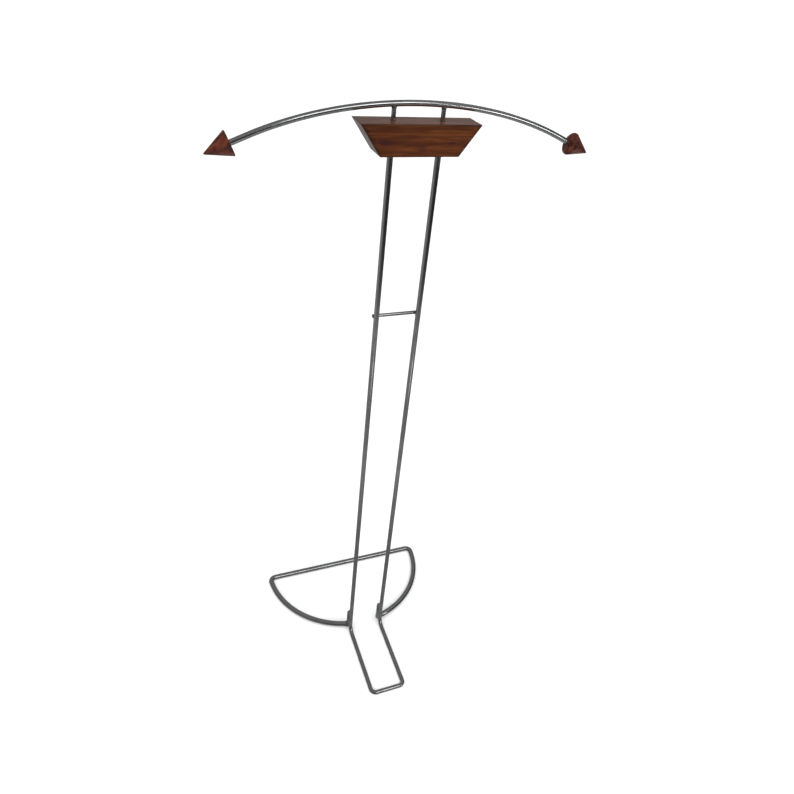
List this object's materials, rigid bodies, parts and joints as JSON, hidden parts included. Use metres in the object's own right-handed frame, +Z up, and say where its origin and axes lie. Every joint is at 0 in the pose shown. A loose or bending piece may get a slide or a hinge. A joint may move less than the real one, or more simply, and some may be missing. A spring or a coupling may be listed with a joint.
{
  "type": "valet stand",
  "caption": "Free-standing valet stand: bent-rod frame on a D-shaped floor ring, wooden trouser block and arched hanger bar tipped with wooden cones.",
  "frame": {"origin": "middle of the bounding box's floor side: the floor is Z = 0", "axes": "+Z up, -Y the front, towards which the foot reaches, +X to the right of a person who faces the front"},
  "size_m": [0.492, 0.3188, 0.9995],
  "materials": {
    "chrome": "polished, lightly worn plating",
    "weld_metal": "plated weld bead, slightly rough",
    "rosewood": "reddish-brown, straight grain, satin lacquer",
    "cone_wood": "turned reddish-brown wood, satin lacquer"
  },
  "bodies": {
    "root": {"base_ring": "chrome", "cross_bar": "chrome", "cross_bar_weld_left": "weld_metal", "cross_bar_weld_right": "weld_metal", "finial_left": "cone_wood", "finial_right": "cone_wood", "hanger_bar": "chrome", "hanger_peg_left": "chrome", "hanger_peg_right": "chrome", "hanger_weld_left": "weld_metal", "hanger_weld_right": "weld_metal", "post_weld_left": "weld_metal", "post_weld_right": "weld_metal", "ring_post_left": "chrome", "ring_post_right": "chrome", "ring_weld_left": "weld_metal", "ring_weld_right": "weld_metal", "trouser_block": "rosewood", "upright_frame": "chrome"}
  },
  "joints": []
}
